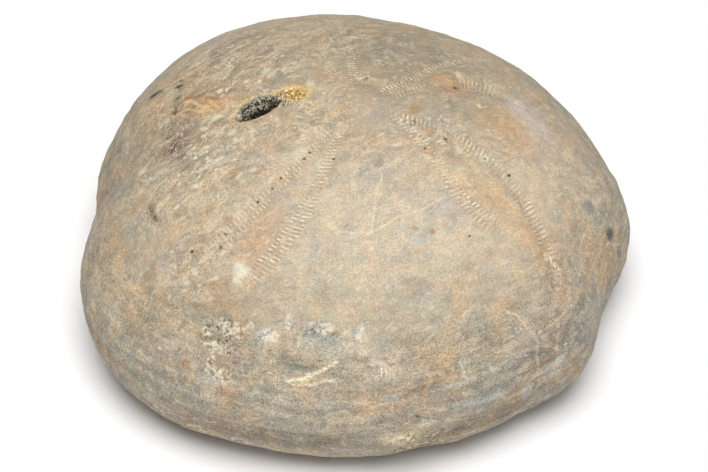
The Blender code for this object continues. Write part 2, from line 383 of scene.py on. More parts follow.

# Stains, and some patches of painted light and shade: azimuth, position, half sizes around and down
# in millimetres, colour, strength. Their outlines stray by the wobble. A patch with a half size below
# the small one's has a sharper edge, and fine faces as far as so many times its half sizes.
STAIN_WOBBLE = 0.5 * MM
STAIN_WOBBLE_LENGTH = 2.5 * MM
SMALL_STAIN = 1.5
SMALL_STAIN_REACH = 1.6
STAIN_SHARPNESS = 2
SMALL_STAIN_SHARPNESS = 4
STAINS_AND_PAINTED_LIGHT = {
    "rim_shade_left": (264, 1.12, 8.0, 2.4, (126, 116, 104), 0.65),
    "rim_shade_far_left": (248, 1.14, 8.0, 2.4, (126, 116, 104), 0.65),
    "rim_shade_right": (291, 1.14, 6.0, 2.2, (132, 116, 98), 0.65),
    "rim_shade_far_right": (304, 1.12, 6.0, 2.4, (134, 118, 102), 0.65),
    "left_shoulder_shade": (198, 0.58, 4.0, 4.0, (138, 122, 100), 0.45),
    "petal_end_white": (238, 0.708, 1.9, 1.0, (226, 216, 196), 0.75),
    "petal_end_white_low": (238, 0.73, 0.8, 0.9, (230, 220, 198), 0.8),
    "right_side_shade": (313, 0.972, 4.5, 3.0, (134, 122, 106), 0.6),
    "rim_grey_middle": (275, 1.03, 4.0, 0.9, (170, 166, 156), 0.5),
    "crescent_blue_grey": (257.5, 0.915, 2.6, 0.8, (122, 132, 124), 0.65),
    "lower_pale_left": (264, 0.971, 2.0, 0.8, (190, 190, 184), 0.55),
    "lower_pale_middle": (278, 0.965, 1.4, 0.7, (186, 190, 184), 0.55),
    "lower_pale_far_left": (255, 0.972, 1.6, 0.9, (200, 188, 174), 0.45),
    "lower_teal": (255, 0.995, 1.6, 0.7, (122, 130, 118), 0.45),
    "small_white_low": (284.3, 0.998, 0.5, 0.35, (228, 220, 208), 0.9),
    "small_black_low": (282.8, 0.993, 0.35, 0.35, (66, 60, 56), 0.85),
    "pale_foot": (268, 1.02, 15.0, 6.0, (196, 187, 170), 0.5),
    # Painted light: a broad paler patch on the front of the dome, where the light falls most.
    "painted_light_front": (285, 0.52, 24.0, 14.0, (218, 204, 182), 0.55),
    "pale_right": (335, 0.7, 12.0, 9.0, (214, 196, 172), 0.45),
    # Painted shade: a broad darker patch on the back of the dome, turned away from the light.
    "painted_shade_back": (55, 0.4, 20.0, 16.0, (158, 144, 122), 0.85),
    "dull_foot": (222, 0.92, 9.0, 6.0, (160, 146, 124), 0.5),
    "pale_left": (206, 0.56, 8.0, 6.0, (206, 192, 164), 0.5),
    "warm_front": (160, 0.5, 13.0, 9.0, (176, 148, 116), 0.4),
    "grey_corner": (316, 0.97, 9.0, 5.0, (163, 156, 150), 0.55),
    "pale_chips": (265, 0.865, 7.0, 3.6, (222, 212, 192), 0.5),
    "pale_left_foot": (212, 0.93, 7.0, 5.0, (206, 186, 156), 0.5),
    "brown_upper_left": (178, 0.61, 4.6, 4.0, (158, 136, 110), 0.35),
    "brown_upper_edge": (134, 0.62, 6.0, 3.6, (150, 132, 110), 0.55),
    "grey_corner_low": (321, 0.965, 4.0, 3.0, (140, 132, 126), 0.5),
    "left_brown": (172, 0.78, 6.5, 5.5, (158, 143, 119), 0.55),
    "left_rim_brown": (168, 0.95, 5.0, 3.0, (156, 140, 114), 0.5),
    "vein_brown": (163, 0.61, 3.2, 4.0, (168, 136, 100), 0.75),
    "vein_orange": (168, 0.54, 2.2, 4.4, (204, 160, 108), 0.75),
    "vein_shade": (168, 0.69, 1.6, 2.2, (141, 124, 98), 0.6),
    "green_trickle": (160, 0.69, 2.2, 0.9, (150, 150, 128), 0.7),
    "cream_oval_shade": (177.5, 0.502, 1.0, 1.7, (142, 122, 98), 0.75),
    "cream_oval": (177, 0.504, 0.6, 1.3, (226, 217, 188), 1.0),
    "cream_curl_shade": (181.5, 0.552, 1.1, 1.5, (148, 132, 108), 0.6),
    "cream_curl": (181, 0.552, 0.6, 1.1, (214, 209, 184), 0.95),
    "cream_lump_shade": (191, 0.434, 1.3, 1.3, (158, 142, 118), 0.5),
    "cream_lump_front": (190, 0.434, 0.8, 0.8, (214, 208, 184), 0.9),
    "cream_lump_near_hole": (197, 0.4, 0.5, 0.5, (222, 212, 186), 0.8),
    "cream_lump_below_hole": (199, 0.364, 0.5, 0.5, (222, 206, 176), 0.8),
    "cream_brush": (151, 0.56, 0.8, 2.2, (206, 198, 172), 0.75),
    "cream_patch_high": (144, 0.38, 0.9, 0.8, (224, 212, 182), 0.8),
    "cream_patch_left": (158, 0.64, 0.9, 0.9, (222, 202, 162), 0.75),
    "left_white_oval": (187, 0.763, 0.8, 0.7, (222, 210, 180), 0.9),
    "left_white_dash": (172, 0.772, 0.8, 0.4, (208, 196, 168), 0.75),
    "brown_below_streak": (209, 0.483, 1.8, 1.8, (176, 140, 104), 0.55),
    "grey_above_streak": (197, 0.48, 2.6, 2.6, (168, 166, 148), 0.5),
    "cream_lump_apex": (142, 0.19, 0.8, 1.0, (222, 212, 176), 0.85),
    "cream_lump_left": (145, 0.343, 0.7, 0.8, (220, 203, 176), 0.8),
    "pale_green_patch": (230, 0.278, 1.0, 1.6, (214, 206, 178), 0.8),
    "left_green_grey": (189, 0.818, 2.0, 2.4, (152, 152, 134), 0.6),
    "left_grey_smudge": (182, 0.77, 1.4, 1.4, (144, 131, 114), 0.55),
    "smooth_brown": (205, 0.27, 4.5, 5.0, (184, 168, 146), 0.55),
    "left_dark_spot": (154.8, 0.8, 0.8, 1.3, (58, 64, 64), 0.95),
    "left_dark_spot_top": (153.6, 0.784, 0.7, 1.1, (66, 72, 72), 0.9),
    "upper_left_bar": (154.5, 0.695, 0.5, 1.0, (46, 40, 34), 1.0),
    "upper_left_spot": (151, 0.706, 0.5, 0.5, (60, 54, 44), 0.8),
    "trickle_spot": (160, 0.676, 0.6, 0.6, (100, 98, 84), 0.8),
    "trickle_spot_low": (166, 0.669, 0.6, 0.6, (72, 66, 54), 0.85),
    "mauve_patch": (184, 0.655, 3.0, 2.2, (132, 119, 112), 0.75),
    "mauve_patch_top": (174, 0.682, 2.4, 1.4, (140, 126, 114), 0.65),
    "grey_streak": (204, 0.735, 3.0, 0.8, (124, 118, 108), 0.75),
    "cream_dash": (187, 0.76, 1.4, 0.5, (208, 191, 164), 0.7),
    "rear_grey_spot": (349, 0.872, 1.4, 1.2, (130, 132, 130), 0.8),
    "rear_dark_spot": (349, 0.95, 1.1, 1.2, (92, 93, 98), 0.9),
    "rear_low_spot": (350, 0.99, 1.0, 1.0, (122, 122, 120), 0.7),
    "rear_lilac_patch": (7, 0.658, 4.5, 2.6, (198, 188, 186), 0.7),
    "rear_lilac_high": (12, 0.6, 2.6, 1.8, (204, 196, 194), 0.6),
    "front_green_grey": (287, 0.711, 1.9, 1.5, (153, 151, 134), 0.6),
    "front_green_grey_left": (263, 0.725, 1.9, 1.5, (155, 151, 136), 0.5),
    "front_green_grey_low": (286, 0.82, 1.8, 1.5, (156, 155, 140), 0.45),
    "chip_grey": (264, 0.845, 2.4, 1.2, (142, 147, 142), 0.7),
    "chip_grey_left": (260, 0.826, 1.2, 1.0, (138, 144, 138), 0.6),
    "crescent_grey": (259, 0.912, 2.6, 1.1, (152, 156, 150), 0.5),
    "chip_white": (250.0, 0.852, 1.5, 0.9, (232, 228, 222), 0.7),
    "chip_white_middle": (254.0, 0.812, 0.6, 1.0, (226, 220, 214), 0.6),
    "streak_white_left": (292, 0.965, 3.0, 0.5, (206, 206, 200), 0.6),
    "corner_white": (316, 0.988, 1.2, 0.7, (206, 208, 200), 0.8),
    "corner_white_low": (308, 1.01, 1.0, 1.4, (196, 196, 190), 0.6),
    "rear_edge_blue": (335, 0.985, 1.2, 1.6, (186, 194, 192), 0.6),
    "chip_white_right": (261.5, 0.82, 2.0, 0.8, (230, 224, 212), 0.7),
    "chip_white_far_right": (271.5, 0.832, 0.7, 1.4, (232, 226, 212), 0.6),
    "blue_grey_dot": (286, 0.957, 0.5, 0.5, (122, 128, 136), 0.85),
    "reddish_dot": (298, 0.591, 0.5, 0.5, (173, 125, 92), 0.9),
    "ringed_dot": (293, 0.56, 0.6, 0.5, (162, 153, 120), 0.8),
    "pale_bits": (291, 0.6, 1.7, 0.8, (197, 195, 190), 0.6),
    "lilac_front": (306, 0.56, 3.4, 3.0, (191, 178, 171), 0.5),
    "white_front": (308, 0.53, 1.3, 0.7, (204, 199, 191), 0.6),
    "cream_chip": (238, 0.706, 1.2, 0.8, (236, 226, 204), 0.95),
    "right_petal_orange": (238, 0.6, 3.0, 6.0, (201, 156, 121), 0.55),
    "rear_petal_orange": (325, 0.589, 3.6, 6.5, (208, 166, 118), 0.55),
    "front_orange_low": (236, 0.795, 5.0, 3.0, (191, 153, 114), 0.5),
    "rear_orange_low": (325, 0.8, 3.6, 6.0, (184, 145, 105), 0.55),
    "rear_orange_high": (0, 0.529, 4.0, 4.5, (191, 153, 114), 0.45),
    "chip_brown": (283, 0.955, 4.5, 1.5, (175, 144, 110), 0.5),
    "apex_brown": (356, 0.21, 1.1, 1.2, (162, 130, 92), 0.6),
    "apex_dark_streak": (341, 0.224, 0.7, 0.35, (112, 108, 100), 0.85),
    "petal_orange_start": (340, 0.29, 0.9, 1.2, (184, 146, 102), 0.5),
    "petal_orange_middle": (325, 0.318, 1.3, 0.8, (202, 160, 110), 0.5),
    "grey_between_petals": (353, 0.3, 2.4, 2.6, (168, 158, 146), 0.6),
    "dark_between_petals": (8, 0.345, 1.1, 0.6, (140, 131, 114), 0.65),
    "rear_left_orange": (33, 0.37, 1.2, 1.6, (192, 154, 108), 0.5),
    "rear_left_warm": (25, 0.4, 2.6, 3.0, (194, 154, 110), 0.7),
    "rear_left_white": (31, 0.452, 1.3, 0.7, (216, 206, 184), 0.8),
    "rear_white_dot": (9, 0.452, 0.6, 0.5, (226, 216, 196), 0.85),
    "rear_lump_white": (339, 0.52, 1.1, 0.9, (222, 212, 188), 0.75),
    "rear_orange_wide": (356, 0.56, 5.0, 4.0, (200, 162, 120), 0.4),
    "apex_blue_grey": (285, 0.295, 4.0, 4.5, (173, 169, 164), 0.45),
    "back_grey": (68, 0.4, 3.6, 5.5, (153, 147, 136), 0.5),
    "patch_green_grey": (238, 0.862, 4.6, 2.6, (145, 144, 131), 0.55),
    "patch_mauve": (242, 0.935, 1.6, 2.2, (147, 127, 110), 0.5),
    "patch_blue_grey": (240, 0.965, 2.4, 1.0, (171, 175, 171), 0.5),
    "rim_blue_grey": (296, 0.995, 4.4, 1.1, (167, 171, 171), 0.6),
    "rear_rim_grey": (329, 0.976, 3.6, 2.2, (162, 167, 164), 0.45),
    "corner_pale": (314, 0.995, 2.2, 1.2, (190, 188, 182), 0.55),
    "left_rim_orange": (212, 1.000, 7.0, 1.2, (178, 144, 103), 0.5),
    "left_rim_grey": (214, 0.952, 2.6, 1.8, (190, 186, 168), 0.6),
    "left_rim_grey_low": (223, 0.987, 1.6, 1.0, (151, 153, 142), 0.55),
    "left_rim_cream": (224, 0.972, 0.6, 0.5, (210, 193, 164), 0.8),
    "reddish_chip": (234, 0.955, 0.7, 0.8, (175, 129, 99), 0.7),
    "reddish_chip_rim": (235.5, 0.948, 0.6, 0.6, (201, 191, 178), 0.7),
    "crust_cream": (280, 1.09, 3.2, 1.5, (226, 204, 158), 0.75),
    "crust_brown": (284, 1.38, 5.0, 2.6, (136, 112, 80), 0.75),
    "notch_shade": (178, 0.96, 2.5, 7.0, (162, 140, 116), 0.5),
    "apex_cream": (200, 0.12, 5.0, 4.5, (197, 180, 151), 0.4),
    "base_dirt": (60, 2.35, 14.0, 9.0, (138, 118, 92), 0.4),
    "base_pale": (230, 2.25, 12.0, 8.0, (175, 162, 140), 0.4),
}

# The material's textures: scale per metre, detail, roughness and distortion.
TEXTURES = {
    "mottle": (420.0, 6.0, 0.6, 0.0),
    "grain": (3600.0, 3.0, 0.7, 0.0),
    "layers": (1100.0, 4.0, 0.6, 0.0),
    "broad_tint": (420.0, 4.0, 0.6, 0.0),
    "fine_tint": (3400.0, 2.0, 0.7, 0.0),
    "hues": (1300.0, 3.0, 0.7, 0.0),
    "streaks": (900.0, 4.0, 0.65, 0.0),
    "blotches": (520.0, 5.0, 0.7, 0.5),
    "hollows": (380.0, 5.0, 0.7, 0.5),
    "wisps": (650.0, 3.0, 0.6, 1.5),
    "wisp_breaks": (455.0, 2.0, 0.5, 0.0),
    "crumbs": (1300.0, 3.0, 0.6, 0.8),
    "crystals": (2600.0, 2.0, 0.6, 0.0),
    "warp": (160.0, 2.0, 0.5, 0.0),
}

# How textures and attributes become levels: the two values, then the levels that they turn into.
LEVELS = {
    "unevenness": (0.25, 0.9, 0.5, 1.0),
    "mottle": (0.3, 0.7, 0.79, 1.19),
    "grain": (0.3, 0.7, 0.45, 1.52),
    "layers": (0.3, 0.7, 0.82, 1.17),
    "streaks": (0.3, 0.7, 0.74, 1.20),
    "blotches": (0.54, 0.60, 0.0, 0.7),
    "hollows": (0.47, 0.38, 0.0, 0.55),
    "wisps": (0.015, 0.05, 1.0, 0.0),
    "wisp_breaks": (0.524, 0.624, 0.0, 1.0),
    "pale_crumbs": (0.46, 0.60, 0.0, 0.9),
    "dark_crumbs": (0.41, 0.33, 0.0, 0.7),
    "crystals": (0.42, 0.64, 0.10, 1.7),
    "shine": (0.3, 0.7, 0.75, 0.95),
}

# Flecks: scale per metre, size and share of the cells that hold one.
FLECKS = {
    "wisp_flecks": (1000.0, 0.38, 0.35),
    "dashes": (1300.0, 0.26, 0.10),
    "dots": (1100.0, 0.20, 0.15),
    "specks": (2300.0, 0.60, 0.55),
}

# How the long textures lie: azimuth, and how far they are drawn out along X, Y and Z. The diagonal
# one is bent by up to a reach.
DIAGONAL_LIE = (25.0, (1.9, 1.0, 1.0))
LAYER_LIE = (0.0, (7.0, 7.0, 1.0))
DASH_LIE = (0.0, (2.5, 2.5, 1.0))
WARP_REACH = 5.0 * MM

# Shares by which the tints, hues, wisps, slits and the like are laid over the painted colour.
BROAD_TINT_SHARE = 0.6
FINE_TINT_SHARE = 0.25
HUES_SHARE = 0.08
WISPS_SHARE = 0.85
DASHES_SHARE = 0.7
DOTS_SHARE = 0.8
SLIT_SHADE_SHARE = 0.32
SLIT_CREAM_SHARE = 0.95

SPECULAR_LEVEL = 0.3
CRYSTAL_SHINE = 0.4
BUMP_STRENGTH = 0.6
BUMP_DISTANCE = 0.25 * MM


def bell(distance, half_width):
    """1 at no distance, 0.37 at half_width and next to nothing at twice that."""
    return np.exp(-((distance / half_width) ** 2))


def smooth_step(low, high, value):
    share = np.clip((value - low) / (high - low), 0.0, 1.0)
    return share * share * (3.0 - 2.0 * share)


def angle_between(first, second):
    """Signed difference of two azimuths, from -180 to 180 degrees."""
    return (first - second + 180.0) % 360.0 - 180.0


def plan_radius(azimuths):
    radius = np.full(np.shape(azimuths), PLAN_RADIUS)
    for lobe_azimuth, half_width, height in OUTLINE_LOBES.values():
        radius += height * bell(angle_between(azimuths, lobe_azimuth), half_width)
    return radius


def floor_height(azimuths, ratios):
    radius = ratios * plan_radius(azimuths)
    inside = smooth_step(RING_INNER_RATIO, FLOOR_LEVEL_RATIO, ratios)
    height = FLOOR_RISE * inside + MOUTH_DEPTH * bell(radius, MOUTH_HALF_WIDTH)
    for groove_azimuth in FLOOR_GROOVE_AZIMUTHS:
        turn = np.radians(angle_between(azimuths, groove_azimuth))
        groove = FLOOR_GROOVE_DEPTH * inside * bell(radius * np.sin(turn), FLOOR_GROOVE_HALF_WIDTH)
        height += np.where(np.cos(turn) > 0.0, groove, 0.0)
    return height


def surface_points(azimuths, positions):
    """Points of the test before its relief, for arrays of azimuths and positions."""
    dome_ratio = np.clip(positions, 0.0, 1.0)
    rise = (1.0 - dome_ratio**DOME_PLAN_FULLNESS) ** (1.0 / DOME_HEIGHT_FULLNESS)
    dome_height = MARGIN_HEIGHT + (HEIGHT - MARGIN_HEIGHT) * rise
    turn = np.radians(90.0 * np.clip(positions - 1.0, 0.0, 1.0))
    spread = np.clip(np.cos(turn), 0.0, 1.0) ** (2.0 / FLANK_FULLNESS)
    flank_ratio = RING_OUTER_RATIO + (1.0 - RING_OUTER_RATIO) * spread
    flank_height = MARGIN_HEIGHT * (1.0 - np.sin(turn) ** (2.0 / FLANK_FULLNESS))
    base_ratio = RING_OUTER_RATIO * np.clip(3.0 - positions, 0.0, 1.0)
    base_height = floor_height(azimuths, base_ratio)
    stretches = [positions <= 1.0, positions <= 2.0]
    radius = plan_radius(azimuths) * np.select(stretches, [dome_ratio, flank_ratio], base_ratio)
    height = np.select(stretches, [dome_height, flank_height], base_height)
    turn = np.radians(azimuths)
    east = PLAN_CENTRE[0] + radius * np.cos(turn)
    north = PLAN_CENTRE[1] + radius * np.sin(turn)
    return np.stack((east, north, height), axis=-1)


def place(azimuth, position):
    return surface_points(np.array([float(azimuth)]), np.array([float(position)]))[0]


def zone_azimuth(zone, ratios):
    """Azimuth of a pore zone's middle line: the parabola through its three azimuths."""
    start, end, azimuth_start, azimuth_middle, azimuth_end = zone[:5]
    share = (ratios - start) / (end - start)
    return (
        azimuth_start * (1.0 - share) * (1.0 - 2.0 * share)
        + azimuth_middle * 4.0 * share * (1.0 - share)
        + azimuth_end * share * (2.0 * share - 1.0)
    )


def noise_at(points, length, seed=0.0, octaves=1):
    """Smooth noise from about -1 to 1, with features of that length."""
    scaled = points / length + seed
    if octaves == 1:
        return np.array([noise.noise(point) for point in scaled])
    return np.array([noise.fractal(point, 1.0, 2.0, octaves) for point in scaled])


def measure_from_path(points, normals, path):
    """Distance along a path, and distance from it: positive on its left, seen from outside."""
    along = np.zeros(len(points))
    across = np.full(len(points), np.inf)
    travelled = 0.0
    for first, second in zip(path[:-1], path[1:]):
        step = second - first
        length = np.linalg.norm(step)
        offset = points - first
        share = offset @ step / length**2
        clipped = np.clip(share, 0.0, 1.0)
        away = offset - clipped[:, None] * step
        distance = np.linalg.norm(away, axis=1)
        side = np.where(np.einsum("ij,ij->i", np.cross(step, away), normals) < 0.0, -1.0, 1.0)
        nearer = distance < np.abs(across)
        along[nearer] = travelled + clipped[nearer] * length
        across[nearer] = (side * distance)[nearer]
        travelled += length
    return along, across


def near_path(points, path, reach):
    """Indices of the points in the path's box, widened by reach."""
    low, high = path.min(axis=0) - reach, path.max(axis=0) + reach
    return np.nonzero(np.all((points > low) & (points < high), axis=1))[0]


def zone_path(zone):
    ratios = np.linspace(zone[0] - PORE_ZONE_FADE, zone[1] + PORE_ZONE_FADE, PATH_POINTS)
    return surface_points(zone_azimuth(zone, ratios), ratios)


# ---------------------------------------------------------------------------------------------
# Mesh.


def ball_position(polars):
    """Position on the test of a polar angle on the ball, in degrees from its top."""
    dome_turn = np.radians(90.0 * np.clip(polars / MARGIN_POLAR, 0.0, 1.0))
    dome = np.sin(dome_turn) ** (2.0 / DOME_PLAN_FULLNESS)
    flank = 1.0 + (polars - MARGIN_POLAR) / (RING_POLAR - MARGIN_POLAR)
    base = 2.0 + (polars - RING_POLAR) / (180.0 - RING_POLAR)
    return np.select([polars <= MARGIN_POLAR, polars <= RING_POLAR], [dome, flank], base)


def surface_coordinates(directions):
    """Azimuth and position of directions from the ball's middle."""
    lengths = np.linalg.norm(directions, axis=1)
    azimuths = np.degrees(np.arctan2(directions[:, 1], directions[:, 0]))
    polars = np.degrees(np.arccos(np.clip(directions[:, 2] / lengths, -1.0, 1.0)))
    return azimuths, ball_position(polars)


def pit_coordinates(points, pit):
    """Shares of a pit's half length and half width, and how open it is, from 0 to 1."""
    middle_x, middle_y, half_length, half_width, azimuth, _, power = pit
    turn = math.radians(azimuth)
    east, north = points[:, 0] - middle_x, points[:, 1] - middle_y
    along = (east * math.cos(turn) + north * math.sin(turn)) / half_length
    across = (north * math.cos(turn) - east * math.sin(turn)) / half_width
    opening = np.exp(-((along**2 + across**2) ** (power / 2)))
    return along, across, np.where(points[:, 2] > MARGIN_HEIGHT, opening, 0.0)


def hole_opening(points):
    return np.maximum(pit_coordinates(points, HOLE)[2], pit_coordinates(points, HOLE_TAIL)[2])


def crack_path(points):
    """The points of a crack on the test, with more between them so that it keeps to the surface."""
    azimuths = np.array([point[0] for point in points], float)
    positions = np.array([point[1] for point in points], float)
    steps = np.arange(len(points))
    finer = np.linspace(0.0, len(points) - 1.0, 4 * (len(points) - 1) + 1)
    return surface_points(np.interp(finer, steps, azimuths), np.interp(finer, steps, positions))


def patch_distance(points, patch, unit=MM):
    """Distance from a patch's middle in shares of its half sizes, which are in that unit."""
    azimuth, position, half_around, half_down = patch[:4]
    offset = points - place(azimuth, position)
    turn = math.radians(azimuth)
    around = offset @ np.array((-math.sin(turn), math.cos(turn), 0.0))
    down = np.sqrt(np.maximum(np.einsum("ij,ij->i", offset, offset) - around**2, 0.0))
    return np.hypot(around / (half_around * unit), down / (half_down * unit))


def is_small(painted_patch):
    return min(painted_patch[2], painted_patch[3]) < SMALL_STAIN


def near_pinhole(points, reach):
    """Which points lie within so many times a pinhole's radius of its middle."""
    near = np.zeros(len(points), bool)
    for azimuth, position, radius in PINHOLES:
        near |= np.linalg.norm(points - place(azimuth, position), axis=1) < reach * radius
    return near


def wants_fine_faces(points):
    """Which points lie near something that needs small faces."""
    fine = np.zeros(len(points), bool)
    paths = [(zone_path(zone), ZONE_REACH * MM) for zone in PORE_ZONES.values()]
    paths += [(crack_path(crack[4]), CRACK_REACH) for crack in CRACKS.values()]
    for path, reach in paths:
        near = near_path(points, path, reach)
        _, across = measure_from_path(points[near], points[near], path)
        fine[near] |= np.abs(across) < reach
    fine |= near_pinhole(points, PINHOLE_FINE_REACH)
    for patch in CRUMBLY_PATCHES.values():
        fine |= patch_distance(points, patch) < 1.0
    for painted_patch in filter(is_small, STAINS_AND_PAINTED_LIGHT.values()):
        fine |= patch_distance(points, painted_patch) < SMALL_STAIN_REACH
    return fine | in_hole(points)


def split_faces(ball, wanted, cuts):
    """Splits each edge of the faces whose middle on the test is wanted."""
    ball.faces.ensure_lookup_table()
    middles = np.array([face.calc_center_median() for face in ball.faces])
    chosen = wanted(surface_points(*surface_coordinates(middles)))
    edges = {edge for index in np.nonzero(chosen)[0] for edge in ball.faces[index].edges}
    edges = sorted(edges, key=lambda edge: edge.index)
    bmesh.ops.subdivide_edges(ball, edges=edges, cuts=cuts, use_grid_fill=True)


def in_hole(points):
    return hole_opening(points) > HOLE_EDGE


def wants_finest_faces(points):
    return in_hole(points) | near_pinhole(points, PINHOLE_FINEST_REACH)


def make_ball():
    """A cube blown up into a ball, with faces of nearly one size, and smaller ones at features."""
    ball = bmesh.new()
    bmesh.ops.create_cube(ball, size=2.0)
    bmesh.ops.subdivide_edges(ball, edges=ball.edges[:], cuts=GRID_FACES - 1, use_grid_fill=True)
    for vertex in ball.verts:
        vertex.co = Vector([math.tan(part * math.pi / 4.0) for part in vertex.co]).normalized()
    ball.edges.index_update()
    split_faces(ball, wants_fine_faces, FINE_CUTS)
    ball.edges.index_update()
    split_faces(ball, wants_finest_faces, 1)
    return ball


# ---------------------------------------------------------------------------------------------
# Relief.


def vertex_normals(mesh):
    normals = np.empty(len(mesh.vertices) * 3, np.float32)
    mesh.vertex_normals.foreach_get("vector", normals)
    return normals.reshape(-1, 3).astype(float)


def set_points(mesh, points):
    mesh.vertices.foreach_set("co", points.astype(np.float32).ravel())
    mesh.update()


def solid_relief(azimuths, positions, points):
    """The relief that the solid has too."""
    height = UNEVEN_HEIGHT * noise_at(points, UNEVEN_LENGTH)
    for surface_mark in SURFACE_MARKS.values():
        height += surface_mark[4] * bell(patch_distance(points, surface_mark, 1.0), 1.0)
    zone_depth = np.zeros(len(points))
    for zone in PORE_ZONES.values():
        fade = smooth_step(zone[0] - PORE_ZONE_FADE, zone[0], positions)
        fade *= smooth_step(zone[1] + PORE_ZONE_FADE, zone[1], positions)
        turn = np.radians(angle_between(azimuths, zone_azimuth(zone, positions)))
        across = turn * positions * plan_radius(azimuths)
        zone_depth = np.maximum(zone_depth, fade * bell(across, PORE_ZONE_HALF_WIDTH))
    height -= PORE_ZONE_DEPTH * zone_depth
    for pit in (HOLE, HOLE_TAIL):
        height -= pit[5] * pit_coordinates(points, pit)[2]
    return height * smooth_step(RELIEF_FADE_END, RELIEF_FADE_START, positions)


def slit_coordinates(points, normals, positions):
    """Of each point near a pore zone: slits counted along it, millimetres outwards, and strength."""
    turns = np.zeros(len(points))
    outward = np.full(len(points), ZONE_REACH)
    strength = np.zeros(len(points))
    for number, zone in enumerate(PORE_ZONES.values()):
        path = zone_path(zone)
        near = near_path(points, path, ZONE_REACH * MM)
        along, across = measure_from_path(points[near], normals[near], path)
        wander = SLIT_WANDER * noise_at(points[near], SLIT_WANDER_LENGTH * MM, seed=number)
        to_apex = smooth_step(APEX_NARROWING_STARTS, APEX_NARROWING_FULL, positions[near])
        out = across * zone[5] / MM / (1.0 - APEX_NARROWING * to_apex)
        count = (along / MM + wander + SLIT_SLANT * out) / SLIT_PITCH + 100.0 * number
        fade = smooth_step(zone[0] - PORE_ZONE_FADE, zone[0], positions[near])
        fade *= smooth_step(zone[1] + ZONE_PAST_END, zone[1] - ZONE_BEFORE_END, positions[near])
        fade *= smooth_step(ZONE_REACH, ZONE_FADE_START, np.abs(out))
        kept = smooth_step(-0.5, 0.2, noise_at(points[near], SLIT_WEAR_LENGTH * MM, seed=20.0 + number))
        fade *= zone[6] * (1.0 - SLIT_WEAR + SLIT_WEAR * kept)
        better = fade > strength[near]
        chosen = near[better]
        turns[chosen], outward[chosen], strength[chosen] = count[better], out[better], fade[better]
    strength *= 1.0 - places_strength(points, WORN_SLITS, 0.0)
    strength[near_pinhole(points, PINHOLE_CLEAR_REACH)] = 0.0
    return turns, outward, strength


def slit_ridges(turns, outward, strength):
    """How much of a slit's ridge each point has, from 0 to 1."""
    ridges = np.zeros(len(turns))
    from_ridge = (turns - np.round(turns)) * SLIT_PITCH
    for middle, half_length in (INNER_COLUMN, OUTER_COLUMN):
        within = smooth_step(1.25, 0.75, np.abs(outward - middle) / half_length)
        ridge = 2.0 * bell(from_ridge, 1.3 * SLIT_HALF_WIDTH) - 1.0
        ridges = np.maximum(ridges, strength * within * ridge)
    return ridges


def crumbly_strength(points):
    """Height of the crumbly places in metres, how pitted each point is, and how crumbly: 0 to 1."""
    height = np.zeros(len(points))
    pits = np.zeros(len(points))
    crumbly = np.zeros(len(points))
    for number, patch in enumerate(CRUMBLY_PATCHES.values()):
        pit_depth, pit_length = patch[4] * MM, patch[5] * MM
        distance = patch_distance(points, patch)
        near = np.nonzero(distance < CRUMBLY_REACH)[0]
        ragged = noise_at(points[near], CRUMBLY_RAGGED_LENGTH, seed=40.0 + number)
        inside = smooth_step(1.05, 0.6, distance[near] + CRUMBLY_RAGGEDNESS * ragged)
        grain = noise_at(points[near], pit_length, seed=50.0 + number, octaves=3)
        pits[near] = np.maximum(pits[near], inside * smooth_step(0.15, 0.5, grain))
        crumbly[near] = np.maximum(crumbly[near], inside)
        height[near] -= pit_depth * inside * grain
    return height, pits, crumbly


def crack_strength(points, normals):
    """Height of the cracks, and what each paints: (indices, strength, colour)."""
    height = np.zeros(len(points))
    paints = []
    for number, (half_width, rise, colour, strength, corners) in enumerate(CRACKS.values()):
        path = crack_path(corners)
        near = near_path(points, path, CRACK_REACH)
        _, across = measure_from_path(points[near], normals[near], path)
        wander = CRACK_WANDER * noise_at(points[near], CRACK_WANDER_LENGTH, seed=60.0 + number)
        across = np.where(np.isfinite(across), across, 1.0) + wander
        profile = bell(across, half_width * MM)
        height[near] += rise * MM * profile
        paints.append((near, strength * profile, colour))
    return height, paints


def fine_relief(points, smooth, positions, features):
    """The relief that is too fine for the solid; features is the slits', crumbs' and cracks' part."""
    height = ROLLING[0] * noise_at(points, ROLLING[1], seed=3.0, octaves=2)
    height += GRANULAR[0] * noise_at(points, GRANULAR[1], seed=7.0, octaves=2)
    sway = GROWTH_RING_SWAY * noise_at(points, GROWTH_RING_SWAY_LENGTH, seed=9.0)
    rings = np.sin(points[:, 2] / GROWTH_RINGS[1] * math.tau + sway)
    low = smooth_step(GROWTH_RING_TOP, GROWTH_RING_FULL, points[:, 2])
    height += GROWTH_RINGS[0] * rings * low * (positions < 2.0)
    height += features
    for azimuth, position, radius in PINHOLES:
        height -= PINHOLE_DEPTH * bell(np.linalg.norm(smooth - place(azimuth, position), axis=1), radius)
    crystals = noise_at(points, CRYSTAL_LENGTH, seed=11.0, octaves=3)
    height += CRYSTAL_HEIGHT * crystals * smooth_step(0.1, 0.5, hole_opening(smooth))
    off_ring = smooth_step(RELIEF_FADE_END, RELIEF_FADE_START, positions)
    in_floor = smooth_step(*FLOOR_RELIEF, positions)
    return height * np.maximum(off_ring, in_floor)


def material_marks(smooth, positions, slits, crumbly, marked):
    """The attributes that the material reads, by name."""
    turns, outward, strength = slits
    in_deep_hole = smooth_step(0.02, 0.2, pit_coordinates(smooth, HOLE)[2])
    wispy = places_strength(smooth, WISPY_PLACES, WISPY_ELSEWHERE)
    return {
        "slit_turns": turns,
        "slit_outward": outward,
        "slit_strength": strength,
        "crumbly": crumbly,
        "wispy": wispy * (1.0 - (1.0 - WISPY_ON_MARKS) * marked),
        "speckled": places_strength(smooth, SPECKLED_PLACES, 0.0),
        "layered": smooth_step(0.72, 0.95, positions) * smooth_step(2.0, 1.8, positions),
        "crystal": smooth_step(0.03, 0.2, hole_opening(smooth)) * (0.6 + 0.4 * in_deep_hole),
    }


